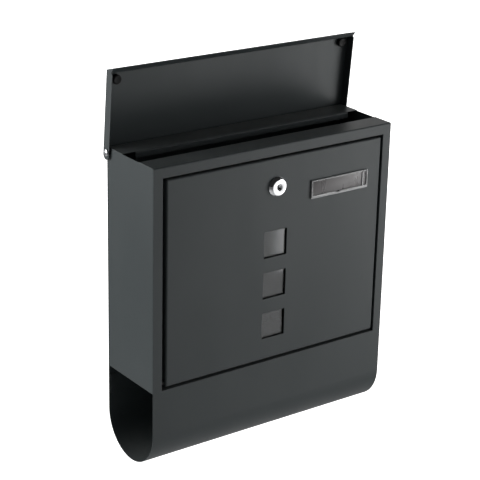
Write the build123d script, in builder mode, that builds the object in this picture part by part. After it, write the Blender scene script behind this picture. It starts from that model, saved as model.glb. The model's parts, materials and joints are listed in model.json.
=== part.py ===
"""Wall mounted mailbox with a newspaper trough, in millimetres.

Frame: +X to the right, -Y out of the front, +Z up. The origin is the centre of
the four wall fixing holes, on the wall. The lid stands open on its stop, the
door is shut, and the lock's cam lies level, clear of the frame.
"""
import os
from math import cos, radians, sin

from build123d import *

os.makedirs("parts", exist_ok=True)

# ---- driving dimensions --------------------------------------------------------
sheet = 0.8  # steel sheet
bend = 1.4  # centre-line radius of a fold
body_width = 360.0
body_depth = 103.0  # front face to the back of the back panel
body_height = 398.5  # top edge to the bottom of the trough
box_height = 288.3  # top edge to the underside of the letter box
stand_off = 7.0  # back panel to the wall
fixing_x = 240.0
fixing_z = 180.0
fixing_drop = 140.0  # top edge down to the centre of the fixing holes
fixing_r = 3.5
boss_base_r = 17.0
boss_top_r = 12.5
boss_thinning = 0.5  # keeps the cone's wall about one sheet thick
seam_up = 12.0  # the trough's rear edge above halfway between floor and trough
seam_lap = 22.0  # how far the back panel runs down inside the trough's rear leg
seam_rise = 4.0
seam_inset = 2.0
rivet_room = 20.0  # the side panel's rear fold stops this far below the top

rail_depth = 32.3  # front face to the letter slot
rear_rail_depth = 35.8  # back panel to the letter slot
rail_lip = 8.0
rear_lip_left = -162.0
rear_lip_right = 164.0

opening_left = -167.4
opening_right = 167.9
opening_top_drop = 13.6
opening_bottom_drop = 286.5
return_depth = 12.0  # folded edges of the door opening

flange = 10.5  # side panel flanges behind the front and in front of the back
panel_bend = 1.0

door_left = -161.7
door_right = 164.7
door_top_drop = 16.8
door_bottom_drop = 283.0
door_depth = 12.0
door_bend = 2.0
door_corner = 1.5
door_pivot_in = 6.0  # behind the front face
door_pivot_up = 5.0  # above the door's lower edge

window_size = 35.0
window_corner = 1.0
window_drops = (128.0, 182.4, 236.8)
window_margin = 8.0
gasket_t = 1.5
pane_t = 2.0

lock_drop = 53.5
head_r = 13.0
head_face_r = 9.9
head_out = 5.0
head_round = 0.5
head_step = 0.8
head_rim = 1.0
barrel_r = 9.4
barrel_in = 14.1
plug_r = 6.54
nose_r = 4.14
cam_reach = 38.5
cam_t = 2.0
cam_hub_r = 9.0
cam_tip_r = 6.5
square = 7.0

plate_left = 52.8
plate_right = 143.0
plate_top_drop = 55.4
plate_bottom_drop = 79.1

lid_half_width = 183.2
lid_lean = 5.08  # degrees forward of upright when it rests open
lid_pivot_in = 3.9  # in front of the back panel
lid_pivot_drop = 5.8
lid_offset = 7.4  # pivot to the lid's outer surface
lid_reach = 102.1  # pivot to the front fold
lid_tail = 6.5  # pivot to the rear fold
lid_tail_lip = 3.4
lid_flange = 12.7
flange_corner = 99.4  # pivot to where the flange slants to meet the lip
lip_run = 5.2
lip_drop = 14.7
return_up = 101.0  # the lip's edge is turned back to here
return_in = 2.9
ear_end = 9.8  # pivot to the ear's rounded end
corner_back = 0.3  # keeps the flange's corners inside the fold
bumper_left_up = 89.2
bumper_right_up = 91.8
bumper_in = 11.7
bumper_r = 6.0
bumper_t = 5.0

pin_r = 2.0
run_clear = 0.06  # radial clearance of a turning fit
gap = 0.3  # air between pieces of different bodies
slack = 0.2  # between sheets that only meet
over = 1.0  # how far a cut runs past the metal

# ---- places worked out from them -----------------------------------------------
top_z = fixing_drop
back_y = -stand_off
front_y = back_y - body_depth
inner_front_y = front_y + sheet
inner_back_y = back_y - sheet
half_width = body_width / 2
floor_z = top_z - box_height
trough_r = (body_depth - sheet) / 2
trough_y = (front_y + back_y) / 2
trough_z = top_z - body_height + body_depth / 2
seam_z = (floor_z + trough_z) / 2 + seam_up

opening_top = top_z - opening_top_drop
opening_bottom = top_z - opening_bottom_drop
opening_width = opening_right - opening_left
opening_height = opening_top - opening_bottom
opening_x = (opening_left + opening_right) / 2
opening_z = (opening_top + opening_bottom) / 2
stop_y = inner_front_y + return_depth + gap  # front of the lip that stops the door

door_top = top_z - door_top_drop
door_bottom = top_z - door_bottom_drop
door_x = (door_left + door_right) / 2
door_z = (door_top + door_bottom) / 2
door_pivot_y = front_y + door_pivot_in
door_pivot_z = door_bottom + door_pivot_up

window_zs = [top_z - drop for drop in window_drops]
strip_x = window_size + 2 * window_margin
strip_z = window_zs[0] - window_zs[2] + strip_x
lock_z = top_z - lock_drop
plate_x = (plate_left + plate_right) / 2
plate_z = top_z - (plate_top_drop + plate_bottom_drop) / 2
plate_w = plate_right - plate_left
plate_h = plate_bottom_drop - plate_top_drop

lid_pivot_y = back_y - lid_pivot_in
lid_pivot_z = top_z - lid_pivot_drop
lean = radians(lid_lean)

front_plane = Plane.XZ.offset(-front_y)  # X and Z; the normal points out
door_inside = Plane.XZ.offset(-inner_front_y)
lock_axis = Axis((0, front_y, lock_z), (0, 1, 0))
# a half section of the lock: local X is the radius, local Y the depth inwards
lock_section = Plane(origin=(0, front_y, lock_z), x_dir=(1, 0, 0), z_dir=(0, 0, 1))
# on the lid: local X is along the pivot, local Y up the lid, local Z to its inside
lid_plane = Plane(
    origin=(0, lid_pivot_y, lid_pivot_z),
    x_dir=(1, 0, 0),
    z_dir=(0, -cos(lean), -sin(lean)),
)
# across the lid: local X is the distance up the lid, local Y towards its inside
lid_section = Plane(
    origin=(0, lid_pivot_y, lid_pivot_z),
    x_dir=(0, -sin(lean), cos(lean)),
    z_dir=(1, 0, 0),
)


def save(builder, name):
    """Label a finished piece and write its STEP file."""
    builder.part.label = name
    export_step(builder.part, f"parts/{name}.step")


def lock_plane(depth):
    """The plane across the lock at a depth behind the front face, normal inwards."""
    origin = (0, front_y + depth, lock_z)
    return Plane(origin=origin, x_dir=(1, 0, 0), z_dir=(0, 1, 0))


def bar_x(radius, x_from, x_to, y, z, mode=Mode.ADD):
    """A round bar along X in the part being built: pin, rivet, washer or hole."""
    start = Plane(origin=(x_from, y, z), x_dir=(0, 1, 0), z_dir=(1, 0, 0))
    with BuildSketch(start) as section:
        Circle(radius)
    extrude(section.sketch, amount=x_to - x_from, mode=mode)


def block(x_from, x_to, y_from, y_to, z_from, z_to, mode=Mode.ADD):
    """A box between two corners, in the part being built."""
    with Locations(((x_from + x_to) / 2, (y_from + y_to) / 2, (z_from + z_to) / 2)):
        Box(x_to - x_from, y_to - y_from, z_to - z_from, mode=mode)


# ---- front shell: top rail, front face, lower panel and trough, one sheet -------
face_y = front_y + sheet / 2
rail_z = top_z - sheet / 2
rail_end_y = front_y + rail_depth - sheet / 2
leg_y = back_y - sheet / 2

with BuildPart() as front_shell:
    with BuildSketch(Plane.YZ):
        with BuildLine():
            FilletPolyline(
                (rail_end_y, top_z - rail_lip),
                (rail_end_y, rail_z),
                (face_y, rail_z),
                (face_y, trough_z),
                radius=bend,
            )
            ThreePointArc(
                (face_y, trough_z),
                (trough_y, trough_z - trough_r),
                (leg_y, trough_z),
            )
            Line((leg_y, trough_z), (leg_y, seam_z - gap))
        trace(line_width=sheet)
    extrude(amount=half_width, both=True)
    with BuildSketch(front_plane):
        with Locations((opening_x, opening_z)):
            Rectangle(opening_width, opening_height)
    extrude(amount=-2 * sheet, mode=Mode.SUBTRACT)
    # the edges of the opening are folded inwards
    with BuildSketch(front_plane.offset(-sheet)):
        with Locations((opening_x, opening_z)):
            Rectangle(opening_width + 2 * sheet, opening_height + 2 * sheet)
            Rectangle(opening_width, opening_height, mode=Mode.SUBTRACT)
    extrude(amount=-return_depth)
    # the upper fold ends in a lip that stops the door and keeps the cam
    with BuildSketch(Plane.YZ.offset(opening_left)):
        with BuildLine():
            Polyline(
                (stop_y - sheet, opening_top),
                (stop_y - sheet, opening_top + sheet),
                (stop_y + sheet, opening_top + sheet),
                (stop_y + sheet, opening_top - rail_lip),
                (stop_y, opening_top - rail_lip),
                (stop_y, opening_top),
                close=True,
            )
        make_face()
    extrude(amount=opening_width)
    bar_x(pin_r, -half_width, half_width, door_pivot_y, door_pivot_z, Mode.SUBTRACT)
    # the rail's lip fits between the side panels
    for side in (-1, 1):
        near, far = sorted((side * (half_width + over), side * (half_width - 2 * sheet)))
        block(
            near, far, rail_end_y - bend - sheet, rail_end_y + sheet,
            top_z - rail_lip - over, top_z - sheet, Mode.SUBTRACT,
        )
save(front_shell, "front_shell")

# ---- back panel with its rear rail and four pressed bosses ----------------------
rear_edge_y = back_y - rear_rail_depth + sheet / 2

with BuildPart() as back_panel:
    with BuildSketch(Plane.YZ):
        with BuildLine():
            FilletPolyline(
                (rear_edge_y + sheet, rail_z),
                (leg_y, rail_z),
                (leg_y, seam_z),
                radius=bend,
            )
        trace(line_width=sheet)
    extrude(amount=half_width, both=True)
    with BuildSketch(Plane.YZ.offset(rear_lip_left)):
        with BuildLine():
            FilletPolyline(
                (rear_edge_y + 4 * sheet, rail_z),
                (rear_edge_y, rail_z),
                (rear_edge_y, top_z - rail_lip),
                radius=bend,
            )
        trace(line_width=sheet)
    extrude(amount=rear_lip_right - rear_lip_left)
    # the lower edge steps in front of the trough's rear leg
    step = half_width - seam_inset
    block(
        -step, step, inner_back_y - sheet, inner_back_y,
        seam_z - seam_lap, seam_z + seam_rise,
    )
    for x in (-fixing_x / 2, fixing_x / 2):
        for z in (-fixing_z / 2, fixing_z / 2):
            along = (Align.CENTER, Align.CENTER, Align.MIN)
            with Locations(Plane(origin=(x, back_y, z), z_dir=(0, 1, 0))):
                Cone(boss_base_r, boss_top_r, stand_off, align=along)
            with Locations(Plane(origin=(x, inner_back_y, z), z_dir=(0, 1, 0))):
                Cone(
                    boss_base_r - boss_thinning,
                    boss_top_r - boss_thinning,
                    stand_off,
                    align=along,
                    mode=Mode.SUBTRACT,
                )
                Cylinder(fixing_r, 2 * stand_off, align=along, mode=Mode.SUBTRACT)
save(back_panel, "back_panel")

# ---- side panels, with folded front and rear edges ------------------------------
notch = bend + sheet / 2  # clears the bends of the rails above

for name, side in (("left_side_panel", -1), ("right_side_panel", 1)):
    wall_mid = side * (half_width - sheet / 2)
    fold_end = side * (half_width - flange)
    with BuildPart() as side_panel:
        with BuildSketch(Plane.XY.offset(floor_z)):
            with BuildLine():
                FilletPolyline(
                    (fold_end, inner_front_y + sheet / 2),
                    (wall_mid, inner_front_y + sheet / 2),
                    (wall_mid, inner_back_y - sheet / 2),
                    (fold_end, inner_back_y - sheet / 2),
                    radius=panel_bend,
                )
            trace(line_width=sheet)
        extrude(amount=box_height - sheet)
        # the rear fold stops short of the lid rivet
        near, far = sorted((fold_end, side * (half_width - sheet)))
        block(
            near, far, inner_back_y - 4 * sheet, inner_back_y,
            top_z - rivet_room, top_z, Mode.SUBTRACT,
        )
        near, far = sorted((fold_end, side * half_width))
        for corner_y in (inner_front_y, inner_back_y):
            block(
                near, far, corner_y - notch, corner_y + notch,
                top_z - notch, top_z, Mode.SUBTRACT,
            )
        bar_x(pin_r, near, far, lid_pivot_y, lid_pivot_z, Mode.SUBTRACT)
    save(side_panel, name)

# ---- floor panel between letter box and trough ----------------------------------
wall_x = half_width - sheet
fold = 12.0
clear_y = 2 * sheet + slack  # past the side panels' folds
mid_x = half_width - flange - 2.0  # between the side panels' flanges
stop_room = 2.0  # behind the frame's folded edge

with BuildPart() as floor_panel:
    block(
        -wall_x, wall_x, inner_front_y + clear_y, inner_back_y - clear_y,
        floor_z, floor_z + sheet,
    )
    block(-mid_x, mid_x, inner_front_y, inner_back_y, floor_z, floor_z + sheet)
    block(
        -mid_x, mid_x, inner_front_y, inner_front_y + sheet,
        floor_z - fold, floor_z + sheet,
    )
    block(
        -mid_x, mid_x, inner_back_y - sheet, inner_back_y,
        floor_z, floor_z + fold,
    )
    for side in (-1, 1):
        near, far = sorted((side * wall_x, side * (wall_x - sheet)))
        block(
            near, far, inner_front_y + return_depth + stop_room, inner_back_y - clear_y,
            floor_z, floor_z + fold,
        )
save(floor_panel, "floor_panel")

# ---- door hinge: a rivet through each side fold, and a bush in the gap -----------
head_t = 1.2
pin_head_r = 3.4
bush_r = 3.5

for name, side, edge, leaf in (
    ("left", -1, opening_left, door_left),
    ("right", 1, opening_right, door_right),
):
    outer_head = edge + side * (sheet + head_t)
    inner_face = leaf - side * (sheet + gap)
    with BuildPart() as hinge_pin:
        bar_x(pin_r, outer_head, inner_face - side * head_t, door_pivot_y, door_pivot_z)
        bar_x(pin_head_r, outer_head, edge + side * sheet, door_pivot_y, door_pivot_z)
        bar_x(
            pin_head_r, inner_face, inner_face - side * head_t,
            door_pivot_y, door_pivot_z,
        )
    save(hinge_pin, f"door_hinge_pin_{name}")
    with BuildPart() as hinge_bush:
        bar_x(bush_r, edge, leaf + side * gap, door_pivot_y, door_pivot_z)
        bar_x(
            pin_r + run_clear, edge, leaf + side * gap,
            door_pivot_y, door_pivot_z, Mode.SUBTRACT,
        )
    save(hinge_bush, f"door_hinge_bush_{name}")

# ---- door: a skin with folded edges, windows, lock hole and name plate holes ------
peg_r = 1.5
peg_fit = 0.1
peg_left = plate_left + 8.0
peg_right = plate_right - 12.0
peg_dz = 6.0
peg_places = [(x, plate_z + dz) for x in (peg_left, peg_right) for dz in (-peg_dz, peg_dz)]

with BuildPart() as door:
    with BuildSketch(front_plane):
        with Locations((door_x, door_z)):
            RectangleRounded(door_right - door_left, door_top - door_bottom, door_corner)
    extrude(amount=-door_depth)
    fillet(door.faces().sort_by(Axis.Y)[0].edges(), door_bend)
    offset(amount=-sheet, openings=door.faces().sort_by(Axis.Y)[-1])
    with BuildSketch(front_plane):
        with Locations(*[(0, z) for z in window_zs]):
            RectangleRounded(window_size, window_size, window_corner)
        with Locations((0, lock_z)):
            Circle(barrel_r + peg_fit)
        with Locations(*peg_places):
            Circle(peg_r + peg_fit)
    extrude(amount=-2 * sheet, mode=Mode.SUBTRACT)
    bar_x(
        pin_r + run_clear, door_left - over, door_right + over,
        door_pivot_y, door_pivot_z, Mode.SUBTRACT,
    )
save(door, "door")

# ---- window strip: foam gasket, clear pane and its four spring clips ---------------
strip_corner = 2.0

with BuildPart() as window_gasket:
    with BuildSketch(door_inside):
        with Locations((0, window_zs[1])):
            RectangleRounded(strip_x, strip_z, strip_corner)
        with Locations(*[(0, z) for z in window_zs]):
            RectangleRounded(window_size, window_size, window_corner, mode=Mode.SUBTRACT)
    extrude(amount=-gasket_t)
save(window_gasket, "window_gasket")

with BuildPart() as window_pane:
    with BuildSketch(door_inside.offset(-gasket_t)):
        with Locations((0, window_zs[1])):
            RectangleRounded(strip_x, strip_z, strip_corner)
    extrude(amount=-pane_t)
save(window_pane, "window_pane")

clip_w = 9.0
clip_foot = 8.0
clip_reach = 5.0
clip_rise = gasket_t + pane_t
clip_edge = strip_x / 2 + slack

with BuildPart() as pane_clips:
    for side in (-1, 1):
        for z in ((window_zs[0] + window_zs[1]) / 2, (window_zs[1] + window_zs[2]) / 2):
            with BuildSketch(Plane.XY.offset(z - clip_w / 2)):
                with BuildLine():
                    Polyline(
                        (side * (clip_edge + clip_foot), inner_front_y),
                        (side * (clip_edge + clip_foot), inner_front_y + sheet),
                        (side * (clip_edge + sheet), inner_front_y + sheet),
                        (side * (clip_edge + sheet), inner_front_y + clip_rise + sheet),
                        (side * (clip_edge - clip_reach), inner_front_y + clip_rise + sheet),
                        (side * (clip_edge - clip_reach), inner_front_y + clip_rise),
                        (side * clip_edge, inner_front_y + clip_rise),
                        (side * clip_edge, inner_front_y),
                        close=True,
                    )
                make_face()
            extrude(amount=clip_w)
save(pane_clips, "pane_clips")

# ---- cam lock -------------------------------------------------------------------------
plug_step = -3.1  # depth of the plug's shoulder, behind the head's face
nose_depth = -4.3
throat_r = nose_r + run_clear
bore_r = plug_r + run_clear
cam_depth = barrel_in + gap
plug_end = cam_depth + cam_t
washer_t = 1.0
nut_half = 12.0  # half its width across the flats
nut_t = 4.5
slot_w = 2.2
slot_h = 7.2
slot_end = barrel_in - 2.0
plug_slack = 0.1  # along the lock, at the plug's shoulder and at its cam end
square_start = barrel_in + plug_slack

with BuildPart() as lock_housing:
    with BuildSketch(lock_section):
        with BuildLine():
            Polyline(
                (throat_r, plug_step - plug_slack),
                (throat_r, -head_out + head_round),
                (throat_r + head_round, -head_out),
                (head_face_r, -head_out),
                (head_face_r + head_step, -head_out + head_round),
                (head_r, -head_rim),
                (head_r, 0),
                (barrel_r, 0),
                (barrel_r, barrel_in),
                (bore_r, barrel_in),
                (bore_r, plug_step - plug_slack),
                close=True,
            )
        make_face()
    revolve(axis=lock_axis)
save(lock_housing, "lock_housing")

with BuildPart() as lock_washer:
    with BuildSketch(lock_plane(sheet)):
        Circle(head_r - 0.5)
        Circle(barrel_r, mode=Mode.SUBTRACT)
    extrude(amount=washer_t)
save(lock_washer, "lock_washer")

with BuildPart() as lock_nut:
    with BuildSketch(lock_plane(sheet + washer_t)):
        RegularPolygon(nut_half, 6, major_radius=False)
        Circle(barrel_r, mode=Mode.SUBTRACT)
    extrude(amount=nut_t)
    chamfer(lock_nut.edges().filter_by(GeomType.CIRCLE).sort_by(Axis.Y)[-1], 0.5)
save(lock_nut, "lock_nut")

wafer_t = 0.8
wafer_w = 5.0
wafer_h = 11.6
wafer_first = 1.0  # behind the front face
wafer_pitch = 2.2
wafer_fit = 0.1
key_room = 0.6  # the wafers' windows beyond the key slot
screw_r = 2.0
screw_in = 4.0
screw_head_r = 3.8
screw_head_t = 2.4
screw_head_round = 1.0
cross_l = 5.0
cross_w = 0.9
cross_depth = 1.2
cam_washer_r = 5.5
wafer_depths = [wafer_first + wafer_pitch * n for n in range(5)]

with BuildPart() as lock_plug:
    with BuildSketch(lock_section):
        with BuildLine():
            Polyline(
                (0, nose_depth),
                (nose_r, nose_depth),
                (nose_r, plug_step),
                (plug_r, plug_step),
                (plug_r, square_start),
                (0, square_start),
                close=True,
            )
        make_face()
    revolve(axis=lock_axis)
    with BuildSketch(lock_plane(square_start)):
        Rectangle(square, square)
    extrude(amount=plug_end - square_start)
    with BuildSketch(lock_plane(nose_depth)):
        Rectangle(slot_w, slot_h)
    extrude(amount=slot_end - nose_depth, mode=Mode.SUBTRACT)
    for depth in wafer_depths:
        with BuildSketch(lock_plane(depth)):
            Rectangle(wafer_w + wafer_fit, 2 * plug_r)
        extrude(amount=wafer_t + wafer_fit, mode=Mode.SUBTRACT)
    with Locations(Plane(origin=(0, front_y + plug_end, lock_z), z_dir=(0, -1, 0))):
        along = (Align.CENTER, Align.CENTER, Align.MIN)
        Cylinder(screw_r, screw_in, align=along, mode=Mode.SUBTRACT)
save(lock_plug, "lock_plug")

with BuildPart() as lock_wafers:
    for depth in wafer_depths:
        with BuildSketch(lock_plane(depth + wafer_fit / 2)):
            Rectangle(wafer_w, wafer_h)
            Rectangle(slot_w + key_room, slot_h + key_room, mode=Mode.SUBTRACT)
        extrude(amount=wafer_t)
save(lock_wafers, "lock_wafers")

with BuildPart() as lock_cam:
    with BuildSketch(lock_plane(cam_depth)):
        with BuildLine():
            hub = CenterArc((0, 0), cam_hub_r, 60, -120)
            tip = CenterArc((-cam_reach + cam_tip_r, 0), cam_tip_r, 90, 180)
            Line(hub @ 0, tip @ 0)
            Line(tip @ 1, hub @ 1)
        make_face()
        Rectangle(square, square, mode=Mode.SUBTRACT)
    extrude(amount=cam_t)
save(lock_cam, "lock_cam")

with BuildPart() as cam_washer:
    with BuildSketch(lock_plane(plug_end)):
        Circle(cam_washer_r)
        Circle(screw_r, mode=Mode.SUBTRACT)
    extrude(amount=sheet)
save(cam_washer, "cam_washer")

with BuildPart() as cam_screw:
    with BuildSketch(lock_plane(plug_end - screw_in)):
        Circle(screw_r)
    extrude(amount=screw_in + sheet)
    with BuildSketch(lock_plane(plug_end + sheet)):
        Circle(screw_head_r)
    extrude(amount=screw_head_t)
    fillet(cam_screw.edges().sort_by(Axis.Y)[-1], screw_head_round)
    with BuildSketch(lock_plane(plug_end + sheet + screw_head_t)):
        Rectangle(cross_l, cross_w)
        Rectangle(cross_w, cross_l)
    extrude(amount=-cross_depth, mode=Mode.SUBTRACT)
save(cam_screw, "cam_screw")

# ---- name plate: a clear holder pegged to the door, and its clear label cover ----------
base_t = 1.0
wall = 1.6
floor_wall = 3.8
rim_out = 2.6
end_gap = 5.6  # between the two uprights at the right-hand end
plate_corner = 1.0
peg_in = 5.0
cover_t = 0.6
cover_fit = 0.4

with BuildPart() as nameplate_holder:
    with BuildSketch(front_plane):
        with Locations((plate_x, plate_z)):
            RectangleRounded(plate_w, plate_h, plate_corner)
    extrude(amount=base_t)
    with BuildSketch(front_plane.offset(base_t)):
        with Locations((plate_x, plate_z)):
            RectangleRounded(plate_w, plate_h, plate_corner)
        low = plate_z - plate_h / 2 + floor_wall
        high = plate_z + plate_h / 2 - wall
        left = plate_x - plate_w / 2 + wall
        right = plate_x + plate_w / 2 - 2 * wall - end_gap
        with Locations(((left + right) / 2, (low + high) / 2)):
            Rectangle(right - left, high - low, mode=Mode.SUBTRACT)
        with Locations((right + wall + end_gap / 2, (low + high) / 2)):
            Rectangle(end_gap, high - low, mode=Mode.SUBTRACT)
    extrude(amount=rim_out - base_t)
    with BuildSketch(front_plane):
        with Locations(*peg_places):
            Circle(peg_r)
    extrude(amount=-peg_in)
save(nameplate_holder, "nameplate_holder")

with BuildPart() as nameplate_cover:
    with BuildSketch(front_plane.offset(base_t)):
        with Locations(((left + right) / 2, (low + high) / 2)):
            RectangleRounded(right - left - cover_fit, high - low - cover_fit, cover_t)
    extrude(amount=cover_t)
save(nameplate_cover, "nameplate_cover")

# ---- lid: plate with rear fold, side flanges, rounded ears and a slanted front lip ------
# drawn across the lid: X up the lid from the pivot, Y towards its inside
skin = -lid_offset + sheet / 2
rim = -lid_offset + lid_flange
lip_up = lid_reach + lip_run
lip_in = -lid_offset + lip_drop
ear_r = lid_flange / 2
ear_x = ear_r - ear_end
tail_half = half_width - 2.0  # clears the ears' inside

with BuildPart() as lid:
    with BuildSketch(lid_section):
        with BuildLine():
            FilletPolyline((ear_x, skin), (lid_reach, skin), (lip_up, lip_in), radius=bend)
        trace(line_width=sheet)
    extrude(amount=lid_half_width, both=True)
    # rear fold: a drip lip that also meets the back panel when the lid stands open
    with BuildSketch(lid_section):
        with BuildLine():
            FilletPolyline(
                (ear_x + sheet, skin),
                (sheet / 2 - lid_tail, skin),
                (sheet / 2 - lid_tail, lid_tail_lip - lid_offset),
                radius=bend,
            )
        trace(line_width=sheet)
    extrude(amount=tail_half, both=True)
    # side flanges, ending in ears round the rivets
    for side in (-1, 1):
        start = lid_half_width if side > 0 else -lid_half_width + sheet
        with BuildSketch(lid_section.offset(start)):
            with BuildLine():
                Polyline(
                    (ear_x, rim),
                    (flange_corner, rim),
                    (return_up, return_in),
                    (lip_up - corner_back, lip_in - corner_back),
                    (lid_reach, -lid_offset + corner_back),
                    (ear_x, -lid_offset),
                )
                ThreePointArc((ear_x, -lid_offset), (ear_x - ear_r, rim - ear_r), (ear_x, rim))
            make_face()
        extrude(amount=-sheet)
    # the lip's edge is turned back to a blunt drip edge
    with BuildSketch(lid_section):
        with BuildLine():
            Line((lip_up, lip_in), (return_up, return_in))
        trace(line_width=sheet)
    extrude(amount=lid_half_width - sheet, both=True)
    bar_x(
        pin_r + run_clear, -lid_half_width - over, lid_half_width + over,
        lid_pivot_y, lid_pivot_z, Mode.SUBTRACT,
    )
save(lid, "lid")

# ---- lid rivets, their spacer washers and the two rubber bumpers --------------------------
rivet_head_r = 4.8
rivet_head_t = 2.4
rivet_tail_r = 2.8
tail_t = 1.4
rivet_edge = 0.3  # straight side left under the dome
spacer_r = 3.6
bumper_round = 1.5

for name, side, bumper_up in (
    ("left", -1, bumper_left_up),
    ("right", 1, bumper_right_up),
):
    ear_out = side * (lid_half_width + slack)
    ear_in = side * (lid_half_width - sheet - gap)
    wall_in = side * (half_width - sheet)
    with BuildPart() as lid_rivet:
        bar_x(pin_r, ear_out, wall_in - side * tail_t, lid_pivot_y, lid_pivot_z)
        bar_x(rivet_tail_r, wall_in, wall_in - side * tail_t, lid_pivot_y, lid_pivot_z)
        bar_x(
            rivet_head_r, ear_out, ear_out + side * rivet_head_t,
            lid_pivot_y, lid_pivot_z,
        )
        rims = lid_rivet.edges().filter_by(GeomType.CIRCLE).sort_by(Axis.X)
        fillet(rims[-1 if side > 0 else 0], rivet_head_t - rivet_edge)
    save(lid_rivet, f"lid_rivet_{name}")
    with BuildPart() as lid_spacer:
        bar_x(spacer_r, side * half_width, ear_in, lid_pivot_y, lid_pivot_z)
        bar_x(
            pin_r, side * half_width, ear_in, lid_pivot_y, lid_pivot_z, Mode.SUBTRACT
        )
    save(lid_spacer, f"lid_spacer_{name}")
    with BuildPart() as lid_bumper:
        x = side * (lid_half_width - sheet - bumper_in)
        with BuildSketch(lid_plane.offset(sheet - lid_offset)):
            with Locations((x, bumper_up)):
                Circle(bumper_r)
        extrude(amount=bumper_t)
        end = lid_bumper.faces().sort_by(Axis(lid_plane.origin, lid_plane.z_dir))[-1]
        fillet(end.edges(), bumper_round)
    save(lid_bumper, f"lid_bumper_{name}")
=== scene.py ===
# %% [markdown]
# # A wall mounted mailbox
#
# This is a letter box folded from thin steel sheet: a front that curls round into a
# newspaper trough, two side panels, a back panel, a lid on two rivets and a drop-down
# door with a cam lock. The CAD model gives every piece its exact size and place, and
# this lesson gives the box its finishes, its light, and the small parts whose looks
# depend on rounding that a plain solid doesn't have.
#
# Everything is in metres. The origin is the middle of the four wall fixings, X points
# to the right, Y into the wall and Z up.

# %% Load the CAD model
import json
from math import cos, radians, sin

import bmesh
import bpy
from mathutils import Matrix, Vector


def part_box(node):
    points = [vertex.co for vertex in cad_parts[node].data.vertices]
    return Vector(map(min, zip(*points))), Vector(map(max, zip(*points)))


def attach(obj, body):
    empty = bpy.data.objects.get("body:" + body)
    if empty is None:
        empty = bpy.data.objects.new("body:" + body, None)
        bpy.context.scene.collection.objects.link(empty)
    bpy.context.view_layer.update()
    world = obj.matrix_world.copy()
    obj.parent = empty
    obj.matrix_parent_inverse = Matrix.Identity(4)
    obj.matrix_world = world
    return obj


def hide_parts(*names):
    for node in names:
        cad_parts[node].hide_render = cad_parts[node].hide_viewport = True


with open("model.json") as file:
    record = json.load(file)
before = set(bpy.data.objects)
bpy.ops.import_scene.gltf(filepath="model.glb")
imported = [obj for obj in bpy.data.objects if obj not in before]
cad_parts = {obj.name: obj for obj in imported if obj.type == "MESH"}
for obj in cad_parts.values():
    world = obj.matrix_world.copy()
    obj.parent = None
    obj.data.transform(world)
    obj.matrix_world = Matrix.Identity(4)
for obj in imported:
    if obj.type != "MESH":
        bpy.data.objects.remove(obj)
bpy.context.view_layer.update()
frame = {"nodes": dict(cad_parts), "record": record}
nodes = frame["nodes"]
scene = bpy.context.scene
bpy.ops.object.select_all(action="DESELECT")

# %% [markdown]
# ## The camera
#
# The box is seen from its left and from above, through a long lens, which keeps the
# upright edges nearly parallel. A camera looks along its own -Z axis, so its rotation
# is built from three directions: where it looks, what is right and what is up. A small
# lens shift puts the box where it sits in the frame without turning the camera.

# %% Place the camera
camera_place = Vector((-1.1488, -1.6068, 0.7252))
yaw = radians(36.76)
pitch = radians(20.58)
roll = radians(1.51)

look = Vector((sin(yaw) * cos(pitch), cos(yaw) * cos(pitch), -sin(pitch)))
level_right = Vector((cos(yaw), -sin(yaw), 0))
level_up = level_right.cross(look)
right = cos(roll) * level_right + sin(roll) * level_up
up = cos(roll) * level_up - sin(roll) * level_right

camera = bpy.data.objects.new("Camera", bpy.data.cameras.new("Camera"))
scene.collection.objects.link(camera)
turn = Matrix((right, up, -look)).transposed()
camera.matrix_world = Matrix.Translation(camera_place) @ turn.to_4x4()
camera.data.lens = 121.8
camera.data.shift_x = -0.0328
camera.data.shift_y = -0.0017
scene.camera = camera
print(f"camera {camera_place.length:.2f} m from the wall fixings")

# %% [markdown]
# ## Building with nodes
#
# Materials and the world are small programs made of nodes. A few helpers keep the
# lines short: one adds a node and links or sets its inputs, two do sums and mix
# colours, and one makes a node group, which is a box of nodes with named inputs and
# outputs that several materials can share.


# %% Helpers for node trees
def place(tree, kind, inputs=None, **settings):
    """Add a node; an input given a socket is linked, one given a value is set."""
    made = tree.nodes.new(kind)
    for name, value in settings.items():
        setattr(made, name, value)
    for name, value in (inputs or {}).items():
        if isinstance(value, bpy.types.NodeSocket):
            tree.links.new(value, made.inputs[name])
        else:
            made.inputs[name].default_value = value
    return made


def math(tree, operation, first, second=0.0, third=0.0, clamp=False):
    """The result of one sum on two or three numbers or sockets."""
    values = {0: first, 1: second, 2: third}
    settings = {"operation": operation, "use_clamp": clamp}
    return place(tree, "ShaderNodeMath", values, **settings).outputs[0]


def blend(tree, amount, first, second):
    """A colour mixed from two colours."""
    # a Mix node has sockets of the same name for each kind of data
    mixer = tree.nodes.new("ShaderNodeMix")
    mixer.data_type = "RGBA"
    sockets = {socket.identifier: socket for socket in mixer.inputs}
    wanted = {"Factor_Float": amount, "A_Color": first, "B_Color": second}
    for identifier, value in wanted.items():
        if isinstance(value, bpy.types.NodeSocket):
            tree.links.new(value, sockets[identifier])
        else:
            sockets[identifier].default_value = value
    results = {socket.identifier: socket for socket in mixer.outputs}
    return results["Result_Color"]


def group(name, inputs, outputs):
    """An empty node group with named sockets, and its input and output nodes."""
    tree = bpy.data.node_groups.new(name, "ShaderNodeTree")
    for label, kind, value in inputs:
        socket = tree.interface.new_socket(label, in_out="INPUT", socket_type=kind)
        socket.default_value = value
    for label, kind in outputs:
        tree.interface.new_socket(label, in_out="OUTPUT", socket_type=kind)
    given = tree.nodes.new("NodeGroupInput").outputs
    result = tree.nodes.new("NodeGroupOutput").inputs
    return tree, given, result


NUMBER = "NodeSocketFloat"
VECTOR = "NodeSocketVector"

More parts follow.
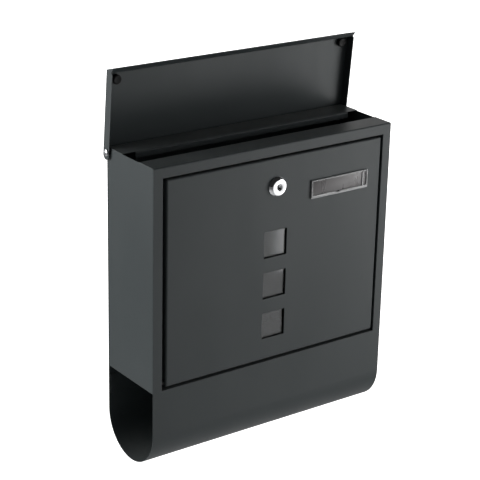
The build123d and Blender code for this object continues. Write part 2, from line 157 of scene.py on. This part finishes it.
# %% [markdown]
# ## Floor and light
#
# The box floats above a wide pale floor, as in a shop's studio picture. Dark satin
# paint is mostly seen by what it reflects, so the lamps are placed by what they show
# in: a near one and a far one on the right make the front grow brighter towards that
# side, a low one is mirrored by the window panes, and a wide one on the left lights
# the side panel evenly. The floor has its own very wide lamp just above it, far behind
# the box. A weak even world light keeps the back and the inside from going black.
#
# The world and the floor are only made to look white, to camera rays. Reflections see
# a dim world, as if the studio's far walls were dark, so the chromed lock has
# something dark to mirror. The lamps' powers were found by rendering each one alone
# and fitting the sum to the brightness wanted, and were then changed a little.

# %% Floor and world
scene.view_settings.view_transform = "Standard"

floor_drop = 1.2
bpy.ops.mesh.primitive_plane_add(size=40, location=(0, 0, -floor_drop))
studio_floor = bpy.context.object
studio_floor.name = "studio_floor"
floor_paint = bpy.data.materials.new("studio_floor")
floor_paint.use_nodes = True
floor_shader = floor_paint.node_tree.nodes["Principled BSDF"]
floor_shader.inputs["Base Color"].default_value = (0.86, 0.86, 0.86, 1)
floor_shader.inputs["Roughness"].default_value = 0.9
floor_shader.inputs["Emission Color"].default_value = (1, 1, 1, 1)
floor_tree = floor_paint.node_tree
seen_floor = place(floor_tree, "ShaderNodeLightPath").outputs["Is Camera Ray"]
floor_tree.links.new(seen_floor, floor_shader.inputs["Emission Strength"])
studio_floor.data.materials.append(floor_paint)

world = bpy.data.worlds.new("Studio")
scene.world = world
world.use_nodes = True
sky_tree = world.node_tree
sky = sky_tree.nodes["Background"].inputs
sky["Color"].default_value = (1, 1, 1, 1)
diffuse_light = 0.15
mirrored_light = 0.02
rays = place(sky_tree, "ShaderNodeLightPath").outputs
seen = math(
    sky_tree, "MULTIPLY_ADD", rays["Is Camera Ray"], 1.0 - diffuse_light, diffuse_light
)
dimming = mirrored_light - diffuse_light
strength = math(sky_tree, "MULTIPLY_ADD", rays["Is Glossy Ray"], dimming, seen)
sky_tree.links.new(strength, sky["Strength"])
print("floor", floor_drop, "m below the middle of the box")


# %% Softboxes
def softbox(name, stand, aim, width, height, power):
    """A soft rectangular lamp on its stand, pointing at a place."""
    lamp = bpy.data.lights.new(name, "AREA")
    lamp.shape = "RECTANGLE"
    lamp.size = width
    lamp.size_y = height
    lamp.energy = power
    holder = bpy.data.objects.new(name, lamp)
    scene.collection.objects.link(holder)
    direction = Vector(aim) - Vector(stand)
    turn = direction.to_track_quat("-Z", "Y").to_matrix().to_4x4()
    holder.matrix_world = Matrix.Translation(stand) @ turn
    print(f"softbox {name}: {width} x {height} m, {power} W")


box_middle = (0.1, -0.1, 0)
softbox("right_key", (1.15, -0.95, -0.05), box_middle, 0.8, 1.1, 5.2)
softbox("right_edge", (0.95, -0.62, 0.25), (0.16, -0.1, 0), 0.35, 1.0, 2.4)
softbox("right_low", (0.88, -1.25, -0.65), box_middle, 0.95, 0.9, 2.1)
softbox("far_right", (2.6, -2.4, -0.2), (0, -0.1, 0), 1.5, 2.0, 5.6)
softbox("left_fill", (-1.75, 0.75, 0.45), (-0.18, -0.06, 0), 1.4, 1.4, 40)
softbox("back_right", (1.6, 1.4, 0.7), (0.1, 0, 0.1), 1.2, 1.2, 3.5)
softbox("floor_wash", (4.6, 5.4, -0.35), (4.6, 5.4, -floor_drop), 7.0, 8.0, 200)

# %% [markdown]
# ## Effects that several finishes share
#
# Four effects turn a flat colour into a surface. *Soft edges* rounds the sharp corners
# of the sheet for the light and finds the edges, where the coat is thinnest and where
# the powder coat is given a painted highlight. *Grain* is the fine orange peel of
# sprayed and moulded surfaces. *Handling* is the cloudy unevenness that wiping and
# touching leave. *Dust* lies only where a surface looks up.


# %% Soft edges
edges, given, result = group(
    "Soft edges",
    [("Radius", NUMBER, 0.0006), ("Reach", NUMBER, 6.0)],
    [("Mask", NUMBER), ("Normal", VECTOR)],
)
rounded_normal = place(edges, "ShaderNodeBevel", {"Radius": given["Radius"]}, samples=6)
flat_normal = place(edges, "ShaderNodeNewGeometry").outputs["Normal"]
alike = place(
    edges,
    "ShaderNodeVectorMath",
    {0: rounded_normal.outputs["Normal"], 1: flat_normal},
    operation="DOT_PRODUCT",
).outputs["Value"]
bent = math(edges, "SUBTRACT", 1.0, alike)
edge_mask = math(edges, "MULTIPLY", bent, given["Reach"], clamp=True)
edges.links.new(edge_mask, result["Mask"])
edges.links.new(rounded_normal.outputs["Normal"], result["Normal"])
print("group made:", edges.name)

# %% Grain
grain, given, result = group(
    "Grain",
    [("Vector", VECTOR, (0, 0, 0)), ("Scale", NUMBER, 700.0), ("Fine", NUMBER, 0.4)],
    [("Height", NUMBER), ("Speckle", NUMBER)],
)
peel = place(
    grain,
    "ShaderNodeTexNoise",
    {"Vector": given["Vector"], "Scale": given["Scale"], "Detail": 2.0},
).outputs[0]
fine_scale = math(grain, "MULTIPLY", given["Scale"], 4.3)
speck = place(
    grain,
    "ShaderNodeTexNoise",
    {"Vector": given["Vector"], "Scale": fine_scale, "Detail": 1.0},
).outputs[0]
fine_part = math(grain, "MULTIPLY", speck, given["Fine"])
grain.links.new(math(grain, "ADD", peel, fine_part), result["Height"])
grain.links.new(speck, result["Speckle"])
print("group made:", grain.name)

# %% Handling
handling, given, result = group(
    "Handling",
    [("Vector", VECTOR, (0, 0, 0)), ("Scale", NUMBER, 9.0)],
    [("Cloud", NUMBER), ("Smear", NUMBER)],
)
cloud = place(
    handling,
    "ShaderNodeTexNoise",
    {"Vector": given["Vector"], "Scale": given["Scale"], "Detail": 3.0},
).outputs[0]
stretched = place(
    handling,
    "ShaderNodeMapping",
    {"Vector": given["Vector"], "Scale": (1.0, 1.0, 0.22), "Rotation": (0.3, 0.5, 0)},
).outputs[0]
smear_scale = math(handling, "MULTIPLY", given["Scale"], 3.1)
smear = place(
    handling,
    "ShaderNodeTexNoise",
    {"Vector": stretched, "Scale": smear_scale, "Detail": 4.0, "Distortion": 0.6},
).outputs[0]
handling.links.new(cloud, result["Cloud"])
handling.links.new(smear, result["Smear"])
print("group made:", handling.name)

# %% Dust
dust, given, result = group(
    "Dust",
    [("Vector", VECTOR, (0, 0, 0)), ("Amount", NUMBER, 0.2)],
    [("Mask", NUMBER)],
)
facing = place(
    dust,
    "ShaderNodeSeparateXYZ",
    {0: place(dust, "ShaderNodeNewGeometry").outputs["Normal"]},
).outputs["Z"]
looks_up = math(dust, "SUBTRACT", facing, 0.55, clamp=True)
patches = place(
    dust,
    "ShaderNodeTexNoise",
    {"Vector": given["Vector"], "Scale": 38.0, "Detail": 5.0, "Roughness": 0.7},
).outputs[0]
patchy = math(dust, "MULTIPLY", looks_up, patches)
covered = math(dust, "MULTIPLY", patchy, given["Amount"], clamp=True)
dust.links.new(covered, result["Mask"])
print("group made:", dust.name)

# %% [markdown]
# ## The finishes
#
# Each finish starts the same way: a new material, the object's own coordinates and the
# shader. What differs is how the shared effects are wired into colour, roughness and
# bump, and which plain numbers the shader holds.


# %% Start a material
def new_finish(name, **values):
    """A new material with its shader's plain numbers set; returns its useful parts."""
    material = bpy.data.materials.new(name)
    material.use_nodes = True
    tree = material.node_tree
    shader = tree.nodes["Principled BSDF"]
    for label, value in values.items():
        shader.inputs[label.replace("_", " ")].default_value = value
    where = tree.nodes.new("ShaderNodeTexCoord").outputs["Object"]
    return material, tree, shader, where


def use_group(tree, shared, inputs):
    """Place a shared effect in a material and return its outputs."""
    return place(tree, "ShaderNodeGroup", inputs, node_tree=shared).outputs


def bumped(tree, shader, height, depth, normal=None):
    """Press a height pattern into the shader's normal."""
    inputs = {"Height": height, "Distance": depth, "Strength": 1.0}
    if normal:
        inputs["Normal"] = normal
    bump = place(tree, "ShaderNodeBump", inputs)
    tree.links.new(bump.outputs["Normal"], shader.inputs["Normal"])


def finish_colour(tree, shader, colour, roughness):
    """Wire a colour and a roughness that change over the surface into the shader."""
    tree.links.new(colour, shader.inputs["Base Color"])
    tree.links.new(roughness, shader.inputs["Roughness"])


# %% [markdown]
# Anthracite powder coat covers all the sheet. It is a faintly green dark grey with a
# satin sheen and a fine orange peel, a little paler on the folds and edges, where the
# coat is thin and where a painted highlight stands in for the light that edges catch,
# and a little duller where it has been handled.

# %% Anthracite powder coat
powder_coat, tree, shader, where = new_finish("anthracite_powder_coat")
shader.inputs["Specular IOR Level"].default_value = 0.42
soft = use_group(tree, edges, {"Radius": 0.0007, "Reach": 3.0})
peel = use_group(tree, grain, {"Vector": where, "Scale": 620.0, "Fine": 0.5})
touch = use_group(tree, handling, {"Vector": where, "Scale": 7.0})
lying = use_group(tree, dust, {"Vector": where, "Amount": 0.35})
colour = blend(
    tree, touch["Cloud"], (0.028, 0.0365, 0.0385, 1), (0.038, 0.0475, 0.050, 1)
)
speckled = math(tree, "MULTIPLY", peel["Speckle"], 0.28)
colour = blend(tree, speckled, colour, (0.07, 0.08, 0.083, 1))
# painted highlight: folds and edges are paler, partly for the thin coat there and
# partly standing in for the light they catch
thin_coat_and_edge_highlight = math(tree, "MULTIPLY", soft["Mask"], 0.25)
colour = blend(tree, thin_coat_and_edge_highlight, colour, (0.1, 0.105, 0.108, 1))
colour = blend(tree, lying["Mask"], colour, (0.34, 0.33, 0.31, 1))
rough = math(tree, "MULTIPLY_ADD", touch["Smear"], 0.16, 0.36)
finish_colour(tree, shader, colour, rough)
bumped(tree, shader, peel["Height"], 0.00004, soft["Normal"])
print("finish made:", powder_coat.name)


# %% [markdown]
# The bright metals share one recipe: a metallic shader, faint turning or rolling
# marks, and a cloudy roughness. Only the numbers differ between the chromed lock, the
# zinc plated fasteners and the brass wafers.


# %% Plated metals
def plated(name, light, dark, roughness, marks, depth):
    """A plated metal: two tones, a base roughness and the scale of its fine marks."""
    material, tree, shader, where = new_finish(name, Metallic=1.0)
    soft = use_group(tree, edges, {"Radius": 0.00035, "Reach": 4.0})
    marked = use_group(tree, grain, {"Vector": where, "Scale": marks, "Fine": 0.6})
    touch = use_group(tree, handling, {"Vector": where, "Scale": 60.0})
    colour = blend(tree, touch["Cloud"], light, dark)
    rough = math(tree, "MULTIPLY_ADD", touch["Smear"], roughness * 0.8, roughness * 0.6)
    finish_colour(tree, shader, colour, rough)
    bumped(tree, shader, marked["Height"], depth, soft["Normal"])
    print("finish made:", name)
    return material


chrome_tones = (0.86, 0.87, 0.88, 1), (0.78, 0.79, 0.81, 1)
zinc_tones = (0.50, 0.51, 0.52, 1), (0.40, 0.41, 0.43, 1)
brass_tones = (0.80, 0.62, 0.30, 1), (0.66, 0.49, 0.22, 1)
chrome = plated("lock_chrome_plate", *chrome_tones, 0.10, 900.0, 2e-6)
zinc = plated("bright_zinc_plate", *zinc_tones, 0.34, 1400.0, 8e-6)
brass = plated("stamped_brass", *brass_tones, 0.26, 1200.0, 6e-6)


# %% [markdown]
# Rubber, nylon and foam are dark and dull, and are told apart by their sheen and by the
# size of their grain: nylon is the smoothest, foam has open cells.


# %% Dark plastics
def dark_plastic(name, tone, roughness, marks, depth):
    """A dull dark plastic with its own grain size and depth."""
    material, tree, shader, where = new_finish(name, Specular_IOR_Level=0.25)
    soft = use_group(tree, edges, {"Radius": 0.0004, "Reach": 3.0})
    cells = use_group(tree, grain, {"Vector": where, "Scale": marks, "Fine": 0.8})
    lying = use_group(tree, dust, {"Vector": where, "Amount": 0.08})
    paler = (tone * 1.7, tone * 1.7, tone * 1.8, 1)
    colour = blend(tree, cells["Speckle"], (tone, tone, tone * 1.04, 1), paler)
    colour = blend(tree, lying["Mask"], colour, (0.3, 0.29, 0.27, 1))
    rough = math(tree, "MULTIPLY_ADD", cells["Speckle"], 0.15, roughness)
    finish_colour(tree, shader, colour, rough)
    bumped(tree, shader, cells["Height"], depth, soft["Normal"])
    print("finish made:", name)
    return material


rubber = dark_plastic("black_rubber", 0.009, 0.55, 1100.0, 2e-5)
nylon = dark_plastic("black_nylon", 0.007, 0.45, 1600.0, 1e-5)
foam = dark_plastic("black_foam", 0.01, 0.8, 500.0, 2e-4)


# %% [markdown]
# The window pane and the name plate are clear. The pane is a flat polished sheet that
# mostly shows the room's reflection over the dark inside. The name plate is moulded,
# with a thin floor and thicker walls whose edges catch the light. Made fully clear it
# looked too dark on the dark door, so the plate is a stand-in: about half clear, with
# a grey tint in its tray and a second, white colour for whatever stands further out
# than the tray's floor. That white is painted light, standing in for the light that the
# thick walls carry. One recipe serves the pane, the holder and the cover.


# %% Clear plastics
def clear_plastic(name, clearness, tint, wall_light_colour, wall_place, roughness, marks, depth):
    """A clear plastic; what stands out past wall_place gets painted wall light."""
    material, tree, shader, where = new_finish(
        name, Transmission_Weight=clearness, IOR=1.49
    )
    touch = use_group(tree, handling, {"Vector": where, "Scale": 24.0})
    marked = use_group(tree, grain, {"Vector": where, "Scale": marks, "Fine": 0.2})
    depth_in = place(tree, "ShaderNodeSeparateXYZ", {0: where}).outputs["Y"]
    in_front = math(tree, "SUBTRACT", wall_place, depth_in)
    # painted light: what stands out past wall_place takes the wall light colour,
    # standing in for the light that thick clear walls carry
    painted_wall_light_mask = math(tree, "MULTIPLY", in_front, wall_sharpness, clamp=True)
    cloudy = tuple(v * 0.93 for v in tint[:3]) + (1,)
    colour = blend(tree, touch["Cloud"], tint, cloudy)
    colour = blend(tree, painted_wall_light_mask, colour, wall_light_colour)
    rough = math(tree, "MULTIPLY_ADD", touch["Smear"], roughness, roughness * 0.5)
    finish_colour(tree, shader, colour, rough)
    bumped(tree, shader, marked["Height"], depth)
    print("finish made:", name)
    return material


wall_sharpness = 4000.0  # the painted wall light is full after a quarter of a millimetre
pane_tint = (0.86, 0.9, 0.92, 1)
tray_tint = (0.25, 0.235, 0.24, 1)
# the white on the name plate's walls is painted light, standing in for the light that
# its thick walls carry
painted_wall_light_white = (0.86, 0.87, 0.88, 1)
tray_floor = -0.1112
pane_clear = clear_plastic(
    "clear_pane_sheet", 1.0, pane_tint, pane_tint, 0.0, 0.05, 30.0, 2e-5
)
plate_clear = clear_plastic(
    "clear_moulding", 0.55, tray_tint, painted_wall_light_white, tray_floor, 0.2, 200.0, 1e-5
)
cover_clear = clear_plastic(
    "clear_label_cover", 0.5, tray_tint, tray_tint, 0.0, 0.3, 60.0, 1e-5
)

# %% [markdown]
# ## Finishes on the CAD pieces
#
# The sheet parts already have their true shape, so they keep it and only get a finish.
# The record names a material slot for every piece, and one table turns slots into
# finishes.

# %% Give every CAD piece its finish
finish_of_slot = {
    "anthracite_paint": powder_coat,
    "zinc_steel": zinc,
    "lock_chrome": chrome,
    "brass": brass,
    "black_nylon": nylon,
    "black_rubber": rubber,
    "black_foam": foam,
    "clear_pane": pane_clear,
    "clear_plastic": plate_clear,
}
slot_of_node = {p["node"]: p["material_slot"] for p in frame["record"]["subparts"]}
body_of_node = {
    name: body
    for body, names in frame["record"]["behaviour"]["bodies"].items()
    for name in names
}
for name, piece in nodes.items():
    finish = finish_of_slot[slot_of_node[name]]
    if not piece.data.materials:
        piece.data.materials.append(finish)
    for number in range(len(piece.data.materials)):
        piece.data.materials[number] = finish
print(len(finish_of_slot), "finishes on", len(nodes), "pieces")

# %% [markdown]
# ## Modelling with operators
#
# The rivets, the rubber bumpers, the lock's front and the name plate are seen by
# their rounding, so they are modelled afresh. Operators act on what is selected, so
# each piece first stands alone. Most of these parts were turned on a lathe or moulded
# round, and one helper does the same: it starts from a disc or a ring, then extrudes
# its rim and resizes it, once for every point of the profile.


# %% Helpers for modelling
mm = 0.001


def alone(piece):
    """Make one piece the only one selected."""
    bpy.ops.object.select_all(action="DESELECT")
    piece.select_set(True)
    bpy.context.view_layer.objects.active = piece


def turned(name, profile, centre, axis, sides=64, closed=False):
    """Turn a profile of (radius, distance along the axis) points about an axis."""
    radius, along = profile[0]
    bpy.ops.mesh.primitive_circle_add(
        vertices=sides,
        radius=radius,
        location=(0, 0, along),
        fill_type="NOTHING" if closed else "NGON",
    )
    piece = bpy.context.object
    piece.name = name
    bpy.ops.object.transform_apply(location=True, rotation=True, scale=True)
    bpy.ops.object.mode_set(mode="EDIT")
    bpy.ops.mesh.select_all(action="SELECT")
    for next_radius, next_along in profile[1:] + (profile[:1] if closed else []):
        step = {"value": (0, 0, next_along - along)}
        bpy.ops.mesh.extrude_region_move(TRANSFORM_OT_translate=step)
        ratio = next_radius / radius
        bpy.ops.transform.resize(
            value=(ratio, ratio, 1), center_override=(0, 0, next_along)
        )
        radius, along = next_radius, next_along
    bpy.ops.object.mode_set(mode="OBJECT")
    turn = Vector(axis).to_track_quat("Z", "Y").to_matrix().to_4x4()
    piece.matrix_world = Matrix.Translation(centre) @ turn
    bpy.ops.object.transform_apply(location=True, rotation=True, scale=True)
    return piece


def arc(centre_radius, centre_along, width, height, start, end, steps):
    """Points on a quarter of an ellipse, to round a corner of a profile."""
    angles = [radians(start + (end - start) * i / steps) for i in range(steps + 1)]
    return [
        (centre_radius + width * cos(a), centre_along + height * sin(a)) for a in angles
    ]


def finished(piece, stands_for, finish, smooth=35, merge=1e-6):
    """Clean a piece's mesh, give it its finish and hand it to the model."""
    alone(piece)
    bpy.ops.object.transform_apply(location=True, rotation=True, scale=True)
    bpy.ops.object.mode_set(mode="EDIT")
    bpy.ops.mesh.select_all(action="SELECT")
    bpy.ops.mesh.remove_doubles(threshold=merge)
    bpy.ops.mesh.normals_make_consistent(inside=False)
    bpy.ops.object.mode_set(mode="OBJECT")
    bpy.ops.object.shade_smooth_by_angle(angle=radians(smooth))
    piece.data.materials.clear()
    piece.data.materials.append(finish)
    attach(piece, body_of_node[stands_for])
    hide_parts(stands_for)
    low, high = (Vector(corner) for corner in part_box(stands_for))
    corners = [Vector(v.co) for v in piece.data.vertices]
    size = [max(c[i] for c in corners) - min(c[i] for c in corners) for i in range(3)]
    sizes = " x ".join(f"{v / mm:.2f}" for v in size)
    cad_sizes = " x ".join(f"{v / mm:.2f}" for v in high - low)
    faces = len(piece.data.polygons)
    print(f"{piece.name}: {faces} faces, {sizes} mm, CAD {cad_sizes}")


# %% [markdown]
# ## Lid rivets
#
# The lid swings on two domed steel rivets, one through each ear. The head is a low
# dome outside the ear, the shank crosses the spacer washer and the side panel, and the
# tail is upset inside the box. All of it is one turned profile.

# %% Lid rivets
rivet_shank = 2.0 * mm
rivet_tail = 2.8 * mm
rivet_head = 4.8 * mm
tail_height = 1.4 * mm
head_height = 2.4 * mm
head_edge = 0.3 * mm

for side, direction in (("left", -1), ("right", 1)):
    node = f"lid_rivet_{side}"
    low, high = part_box(node)
    length = high[0] - low[0]
    inner = Vector((high[0] if direction < 0 else low[0], 0, 0))
    inner.y = (low[1] + high[1]) / 2
    inner.z = (low[2] + high[2]) / 2
    under_head = length - head_height
    profile = [
        (rivet_tail * 0.55, 0.0),
        (rivet_tail * 0.86, tail_height * 0.16),
        (rivet_tail, tail_height * 0.5),
        (rivet_tail, tail_height),
        (rivet_shank, tail_height),
        (rivet_shank, under_head),
        (rivet_head, under_head),
    ]
    dome = head_height - head_edge
    profile += arc(0, under_head + head_edge, rivet_head, dome, 0, 84, 9)
    rivet = turned(f"rivet_{side}", profile, inner, (direction, 0, 0), sides=48)
    finished(rivet, node, zinc)

# %% [markdown]
# ## Rubber bumpers
#
# Two black rubber buttons inside the lid's front corners soften its fall on the
# side panels. Each is a short cylinder with a generous rounding and a slightly dished
# face, moulded in one piece. The lid leans a little forward of upright, so the
# buttons stand square to the lid, not to the room.

# %% Lid bumpers
lean = radians(5.08)
lid_inward = Vector((0, -cos(lean), -sin(lean)))
bumper_radius = 6.0 * mm
bumper_height = 5.0 * mm
bumper_round = 1.5 * mm

for side in ("left", "right"):
    node = f"lid_bumper_{side}"
    low, high = (Vector(corner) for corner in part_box(node))
    # the box of the leaning button is not centred on it: its face is rounded
    base_y = high.y - bumper_radius * sin(lean)
    base = Vector(((low.x + high.x) / 2, base_y, 0))
    base.z = high.z - bumper_radius * cos(lean)
    profile = [(bumper_radius * 0.94, 0.0), (bumper_radius, 0.3 * mm)]
    profile += arc(
        bumper_radius - bumper_round,
        bumper_height - bumper_round,
        bumper_round,
        bumper_round,
        0,
        90,
        6,
    )
    profile += [
        (bumper_radius * 0.62, bumper_height - 0.12 * mm),
        (bumper_radius * 0.45, bumper_height - 0.4 * mm),
        (bumper_radius * 0.1, bumper_height - 0.5 * mm),
    ]
    bumper = turned(f"bumper_{side}", profile, base, lid_inward, sides=56)
    finished(bumper, node, rubber)

# %% [markdown]
# ## The lock's housing
#
# A cam lock's housing is a turned chrome-plated barrel with a coned head. From the
# front it shows a flat polished ring, a rounded mouth around the key plug and the
# cone, which mirrors the room. The barrel behind the door carries the thread for the
# nut, made here as a row of fine grooves. The profile is a closed loop, because the
# plug goes right through.

# %% Lock housing
low, high = (Vector(corner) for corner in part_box("lock_housing"))
lock_centre = Vector(((low.x + high.x) / 2, -110 * mm, (low.z + high.z) / 2))
throat = 4.2 * mm
bore = 6.6 * mm
shoulder = 3.0 * mm
face_edge = 9.0 * mm
face_out = 5.0 * mm
mouth_round = 0.5 * mm
cone_step = 1.7 * mm
head_radius = 13.0 * mm
barrel_radius = 9.4 * mm
barrel_length = high.y - lock_centre.y
thread_pitch = 1.0 * mm
thread_depth = 0.45 * mm

profile = [(throat, shoulder)]
profile += arc(
    throat + mouth_round, face_out - mouth_round, mouth_round, mouth_round, 180, 90, 5
)
profile += arc(face_edge, face_out - mouth_round, cone_step, mouth_round, 90, 20, 5)
profile += [
    (head_radius - 0.42 * mm, 1.42 * mm),
    (head_radius - 0.12 * mm, 1.05 * mm),
    (head_radius, 0.75 * mm),
    (head_radius, 0.12 * mm),
    (head_radius - 0.12 * mm, 0.0),
    (barrel_radius, 0.0),
]
thread_start = 2.2 * mm
turns = int((barrel_length - thread_start - 0.6 * mm) / thread_pitch)
for turn_number in range(turns):
    crest = thread_start + turn_number * thread_pitch
    profile += [
        (barrel_radius, -crest),
        (barrel_radius - thread_depth, -crest - thread_pitch * 0.45),
        (barrel_radius, -crest - thread_pitch * 0.9),
    ]
profile += [
    (barrel_radius - 0.3 * mm, -barrel_length + 0.01 * mm),
    (barrel_radius - 0.4 * mm, -barrel_length),
    (bore, -barrel_length),
    (bore, shoulder),
]
housing = turned("lock_barrel", profile, lock_centre, (0, -1, 0), 96, closed=True)
finished(housing, "lock_housing", chrome)

# %% [markdown]
# ## The lock's plug
#
# The plug keeps the CAD model's slots and square end. Its nose is given a countersink
# towards the keyway, which would help the key in. It is a guess, made for its look: a
# cone mirrors the dim part of the room, so the plug is dark inside the bright ring. A
# copy of the CAD mesh is merged into one solid, and a turned cone is cut out of it
# with a boolean.

# %% Lock plug
plug = bpy.data.objects.new("key_plug", nodes["lock_plug"].data.copy())
scene.collection.objects.link(plug)
alone(plug)
bpy.ops.object.mode_set(mode="EDIT")
bpy.ops.mesh.select_all(action="SELECT")
bpy.ops.mesh.remove_doubles(threshold=1e-6)
bpy.ops.mesh.dissolve_limited(angle_limit=radians(0.5))
bpy.ops.object.mode_set(mode="OBJECT")
nose_out = 4.3 * mm
sink_radius = 4.0 * mm
sink_depth = 1.9 * mm
sink_floor = 1.2 * mm
past = 0.4 * mm  # the cutter starts in front of the nose
slope = (sink_radius - sink_floor) / sink_depth
sink_profile = [
    (sink_radius + past * slope, nose_out + past),
    (sink_floor, nose_out - sink_depth),
]
cutter = turned("countersink", sink_profile, lock_centre, (0, -1, 0), sides=64)
alone(cutter)
bpy.ops.object.mode_set(mode="EDIT")
bpy.ops.mesh.select_all(action="SELECT")
bpy.ops.mesh.normals_make_consistent(inside=False)
bpy.ops.object.mode_set(mode="OBJECT")
alone(plug)
sunk = plug.modifiers.new("Countersink", "BOOLEAN")
sunk.operation = "DIFFERENCE"
sunk.solver = "EXACT"
sunk.object = cutter
bpy.ops.object.modifier_apply(modifier=sunk.name)
bpy.data.objects.remove(cutter)
finished(plug, "lock_plug", chrome, merge=1e-7)

# %% [markdown]
# ## The name plate's holder
#
# The holder is a clear moulding pressed to the door by four pegs. It has a deep tray
# for the label, a thicker wall below with a thumb notch for taking the cover out, and
# a second, narrow tray at its right-hand end. It starts as a cube of the moulding's
# outer size. Bisecting it marks the walls, the faces of the trays are pushed in, and a
# bevel rounds every edge, which is what catches the light on clear plastic.


# %% Helpers for box-like pieces
def block(name, low, high):
    """A cube placed and sized to fill a box, in edit mode."""
    bpy.ops.object.select_all(action="DESELECT")
    middle = (low + high) / 2
    bpy.ops.mesh.primitive_cube_add(size=1, location=middle, scale=high - low)
    piece = bpy.context.object
    piece.name = name
    bpy.ops.object.transform_apply(location=True, rotation=True, scale=True)
    bpy.ops.object.mode_set(mode="EDIT")
    return piece


def cut(through, direction):
    """Mark a whole piece with a flat cut that leaves both halves."""
    bpy.ops.mesh.select_all(action="SELECT")
    bpy.ops.mesh.bisect(plane_co=through, plane_no=direction)


def select_faces(piece, wanted):
    """Select the faces that a test of their middle and normal picks."""
    bpy.ops.mesh.select_all(action="DESELECT")
    mesh = bmesh.from_edit_mesh(piece.data)
    for face in mesh.faces:
        face.select_set(wanted(face.calc_center_median(), face.normal))
    bmesh.update_edit_mesh(piece.data)


def rounded(piece, width, segments=3, angle=40):
    """Round the piece's edges with an applied bevel."""
    alone(piece)
    bevel = piece.modifiers.new("Rounded edges", "BEVEL")
    bevel.width = width
    bevel.segments = segments
    bevel.limit_method = "ANGLE"
    bevel.angle_limit = radians(angle)
    bpy.ops.object.modifier_apply(modifier=bevel.name)


# %% Name plate holder
low, high = (Vector(corner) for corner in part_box("nameplate_holder"))
door_face = -110 * mm
rim_height = 2.6 * mm
base_height = 1.0 * mm
thin_wall = 1.6 * mm
low_wall = 3.8 * mm
end_tray = 5.6 * mm
peg_radius = 1.5 * mm
peg_length = 5.0 * mm

outer_low = Vector((low.x, door_face - rim_height, low.z))
outer_high = Vector((high.x, door_face, high.z))
tray_left = low.x + thin_wall
tray_right = high.x - 2 * thin_wall - end_tray
end_left = tray_right + thin_wall
end_right = high.x - thin_wall
tray_low = low.z + low_wall
tray_high = high.z - thin_wall
notch_low = tray_low - 1.5 * mm
notch_middle = (tray_left + tray_right) / 2
notch_half = 3.2 * mm

holder = block("name_plate_holder", outer_low, outer_high)
notch_sides = (notch_middle - notch_half, notch_middle + notch_half)
for x in (tray_left, *notch_sides, tray_right, end_left, end_right):
    cut((x, 0, 0), (1, 0, 0))
for z in (notch_low, tray_low, tray_high):
    cut((0, 0, z), (0, 0, 1))


def in_a_tray(middle, normal):
    """True for the front faces that are pushed in."""
    if normal.y > -0.5 or not tray_left < middle.x < end_right:
        return False
    if tray_right < middle.x < end_left:
        return False
    in_notch = abs(middle.x - notch_middle) < notch_half
    return (notch_low if in_notch else tray_low) < middle.z < tray_high


select_faces(holder, in_a_tray)
push = {"value": (0, rim_height - base_height, 0)}
bpy.ops.mesh.extrude_region_move(TRANSFORM_OT_translate=push)
bpy.ops.mesh.select_all(action="SELECT")
bpy.ops.mesh.dissolve_limited(angle_limit=radians(1))
bpy.ops.object.mode_set(mode="OBJECT")
rounded(holder, 0.38 * mm, segments=4)

# %% Pegs of the holder
peg_offset = 6.0 * mm
peg_from_left = 8 * mm
peg_from_right = 12 * mm
peg_profile = [
    (peg_radius, 0.0),
    (peg_radius, peg_length - 0.6 * mm),
    (peg_radius - 0.15 * mm, peg_length - 0.2 * mm),
    (peg_radius - 0.45 * mm, peg_length),
]
pegs = []
plate_middle = (low.z + high.z) / 2
for x in (low.x + peg_from_left, high.x - peg_from_right):
    for z in (plate_middle - peg_offset, plate_middle + peg_offset):
        foot = (x, door_face, z)
        pegs.append(turned(f"peg_{len(pegs)}", peg_profile, foot, (0, 1, 0), sides=24))
alone(holder)
for peg in pegs:
    peg.select_set(True)
bpy.ops.object.join()
finished(holder, "nameplate_holder", plate_clear, smooth=15)

# %% [markdown]
# ## The name plate's cover
#
# A thin clear sheet lies in the big tray, where it would hold a label. Its corners and
# edges are rounded, and its front face is divided by two insets.

# %% Name plate cover
low, high = (Vector(corner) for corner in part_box("nameplate_cover"))
high.y -= 0.05 * mm  # room for a label, so the two clear faces never coincide
cover = block("name_plate_cover", low, high)
select_faces(cover, lambda middle, normal: normal.y < -0.5)
bpy.ops.mesh.inset(thickness=1.2 * mm, depth=0)
bpy.ops.mesh.inset(thickness=2.5 * mm, depth=0)
bpy.ops.object.mode_set(mode="OBJECT")
rounded(cover, 0.18 * mm, segments=3)
finished(cover, "nameplate_cover", cover_clear, smooth=15)
